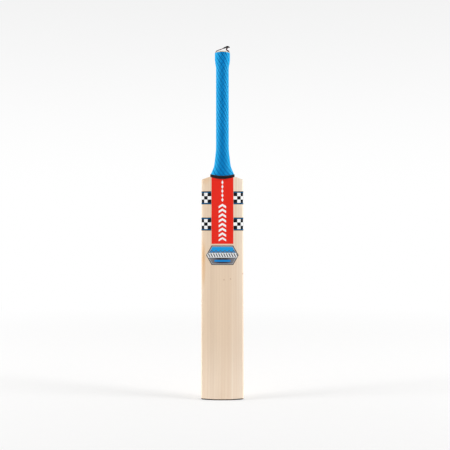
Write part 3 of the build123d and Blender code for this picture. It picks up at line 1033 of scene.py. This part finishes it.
def loop_knot():
    """The knot, the dark end that runs into it, the one that wraps the right strand, and the free one."""
    dark_left = loop_cord(
        KNOT_CORD,
        in_loop(0.54, 0.58),
        in_loop(0.66, 0.71),
        in_loop(0.76, 0.82),
        KNOT,
    )
    wrap = loop_cord(
        LOOP_CORD,
        KNOT,
        in_loop(0.80, 0.62, -1.0 * MM),
        in_loop(0.752, 0.45, -1.1 * MM),
        in_loop(0.79, 0.30, 0.2 * MM),
    )
    free = loop_cord(KNOT_CORD, KNOT, in_loop(0.92, 0.82), in_loop(1.0, 0.72))
    tight = KNOT_CORD * KNOT_TIGHTNESS
    knot = cord(knot_path(), from_knot, (tight, tight), LOOP_PLY_PITCH, True)
    return [dark_left, wrap, free, knot]


def build_loop(maroon):
    """The hanging loop: maroon strands and a black knot."""
    black = thread("black_loop_thread", rgb(0.006, 0.004, 0.007), rgb(0.001, 0.001, 0.002), 0.7, 0.06)
    add_cords(
        "loop_strands", loop_strands(), maroon, "hanging_loop", "hanging_loop"
    )
    add_cords("loop_knot", loop_knot(), black, "hanging_loop", "hanging_loop")


def build_tails(maroon):
    """The loop's ends, tucked down between the cane and the grip."""
    cords = []
    bend_height = (TAILS_HIGH.z + 3 * GRIP_HIGH.z) / 4
    for top, side in ((LOOP_START, TAILS_LOW.x), (LOOP_END, TAILS_HIGH.x)):
        x = side - math.copysign(TAIL_CORD, side)
        bend = Vector((x, 0, bend_height))
        foot = Vector((x, 0, TAILS_LOW.z + TAIL_LIFT))
        head = top - Vector((0, 0, TAIL_GAP))
        cords.append(loop_cord(TAIL_CORD, head, bend, (bend + foot) / 2, foot))
    add_cords("loop_tail_ends", cords, maroon, "bat", "loop_tails")


# ---------------------------------------------------------------- finishes of the CAD nodes
def finish_node(node, material):
    """Gives a CAD node its material."""
    for slot in nodes[node].material_slots:
        slot.material = material


def finish_nodes():
    """Materials for all the CAD nodes that are shown as they are."""
    finish_node("blade", willow())
    finish_node("toe_guard", toe_rubber())
    finish_node("cork_strip_middle", cork())
    rubber = strip_rubber()
    finish_node("rubber_strip_front", rubber)
    finish_node("rubber_strip_back", rubber)
    for index, node in enumerate(sorted(n for n in nodes if n.startswith("cane_slip"))):
        finish_node(node, cane(index))
    finish_node("face_label", label_face())
    finish_node("back_label", label_back())
    finish_node("badge", label_badge())
    for node in sorted(n for n in nodes if n.startswith("check_label")):
        finish_node(node, label_check(node))


# ---------------------------------------------------------------- studio
WHITE = rgb(1.0, 1.0, 1.0)
FLOOR_HALF_SIZE = 60.0
FLOOR_NEAR = 0.5                 # out to here the floor is paper with a little glow
FLOOR_FAR = 2.6                  # and from here on it is as white as the wall
NEAR_GLOW = 0.95
NEAR_GLOW_SHARE = 0.5

WALL_LIGHT = 0.80
SIDE_LIGHT = 0.95                # extra light from the walls at both sides
CAMERA_SIDE_LOSS = 0.93          # how much darker it is behind the camera
WALL_SHADE = 0.135               # how much the visible wall darkens upwards

SOFTBOX_SIDE = 2.6
SOFTBOX_HEIGHT = 1.0
SOFTBOX_WIDTH = 1.0
SOFTBOX_LENGTH = 2.0

CAMERA_DISTANCE = 2.15
CAMERA_LENS = 68.42
CAMERA_SENSOR = 36.0
CAMERA_RIGHT = 6.5 * MM          # the camera stands a little right of the bat's middle
CAMERA_HEIGHT = 0.4932           # share of the bat's height


def build_floor():
    """A wide pale floor that brightens with distance until it meets the studio's white wall."""
    half = FLOOR_HALF_SIZE
    corners = [(-half, -half, 0), (half, -half, 0), (half, half, 0), (-half, half, 0)]
    mesh = bpy.data.meshes.new("studio_floor")
    mesh.from_pydata(corners, [], [(0, 1, 2, 3)])
    floor = bpy.data.objects.new("studio_floor", mesh)
    bpy.context.scene.collection.objects.link(floor)
    g = Graph("studio_paper")
    x, y, z = g.position()
    fibre = g.noise(x * 30, y * 30, z, detail=3)
    colour = g.mix(rgb(0.92, 0.915, 0.91), rgb(0.94, 0.935, 0.93), fibre)
    paper = g.node("BsdfDiffuse", {"Color": colour, "Roughness": 1.0})
    far = g.ramp(g.math("SQRT", x * x + y * y), FLOOR_NEAR, FLOOR_FAR)
    strength = NEAR_GLOW + far * (1.0 - NEAR_GLOW)
    glow = g.node("Emission", {"Color": WHITE, "Strength": strength})
    share = NEAR_GLOW_SHARE + far * (1.0 - NEAR_GLOW_SHARE)
    mixed = g.node("MixShader", {0: share, 1: paper.outputs[0], 2: glow.outputs[0]})
    g.node("OutputMaterial", {"Surface": mixed.outputs[0]})
    mesh.materials.append(g.material)


def build_world():
    """Studio walls: bright at both sides and behind the bat, dark behind the camera."""
    world = bpy.data.worlds.new("studio")
    bpy.context.scene.world = world
    world.use_nodes = True
    g = Graph(tree=world.node_tree)
    direction = g.node("TexCoord", {}).outputs["Generated"]
    dx, dy, dz = [Field(g, out) for out in g.node("SeparateXYZ", {0: direction}).outputs]
    sides = g.ramp(abs(dx), 0.45, 0.95)
    dark = g.ramp(-1.0 * dy, 0.15, 0.75) * g.ramp(dz, 0.95, 0.5)
    light = (WALL_LIGHT + sides * SIDE_LIGHT) * (1.0 - dark * CAMERA_SIDE_LOSS)
    seen = 1.0 - g.ramp(dz, 0.03, 0.36) * WALL_SHADE
    camera_ray = Field(g, g.node("LightPath", {}).outputs["Is Camera Ray"])
    strength = camera_ray * seen + (1.0 - camera_ray) * light
    background = g.node("Background", {"Color": WHITE, "Strength": strength})
    g.node("OutputWorld", {"Surface": background.outputs[0]})


def add_softbox(name, x, y, power):
    """A tall soft light beside the bat, aimed at its middle."""
    light = bpy.data.lights.new(name, "AREA")
    light.shape = "RECTANGLE"
    light.size = SOFTBOX_WIDTH
    light.size_y = SOFTBOX_LENGTH
    light.energy = power
    lamp = bpy.data.objects.new(name, light)
    bpy.context.scene.collection.objects.link(lamp)
    lamp.location = (x, y, SOFTBOX_HEIGHT)
    aim = Vector((0, 0, cad_box[1].z / 2)) - lamp.location
    lamp.rotation_mode = "QUATERNION"
    lamp.rotation_quaternion = aim.to_track_quat("-Z", "Y")


def build_lights():
    """One softbox at each side, a little in front of the bat."""
    add_softbox("softbox_left", -SOFTBOX_SIDE, -0.7, 38.0)
    add_softbox("softbox_right", SOFTBOX_SIDE, -0.8, 42.0)


def build_camera():
    """Level camera square to the face, at the middle of the bat's height."""
    data = bpy.data.cameras.new("camera")
    data.lens = CAMERA_LENS
    data.sensor_width = CAMERA_SENSOR
    camera = bpy.data.objects.new("camera", data)
    bpy.context.scene.collection.objects.link(camera)
    camera.location = (CAMERA_RIGHT, -CAMERA_DISTANCE, cad_box[1].z * CAMERA_HEIGHT)
    camera.rotation_euler = (math.radians(90), 0, 0)
    bpy.context.scene.camera = camera


def set_look():
    """Colours are shown as they are, without a film curve."""
    view = bpy.context.scene.view_settings
    view.view_transform = "Standard"
    view.look = "None"
    view.exposure = 0.0
    view.gamma = 1.0


finish_nodes()
build_grip()
build_twine()
build_binding()
loop_thread = thread(
    "maroon_loop_thread", rgb(0.20, 0.015, 0.018), rgb(0.035, 0.003, 0.006), 0.7, 0.08
)
build_loop(loop_thread)
build_tails(loop_thread)
build_floor()
build_world()
build_lights()
build_camera()
set_look()
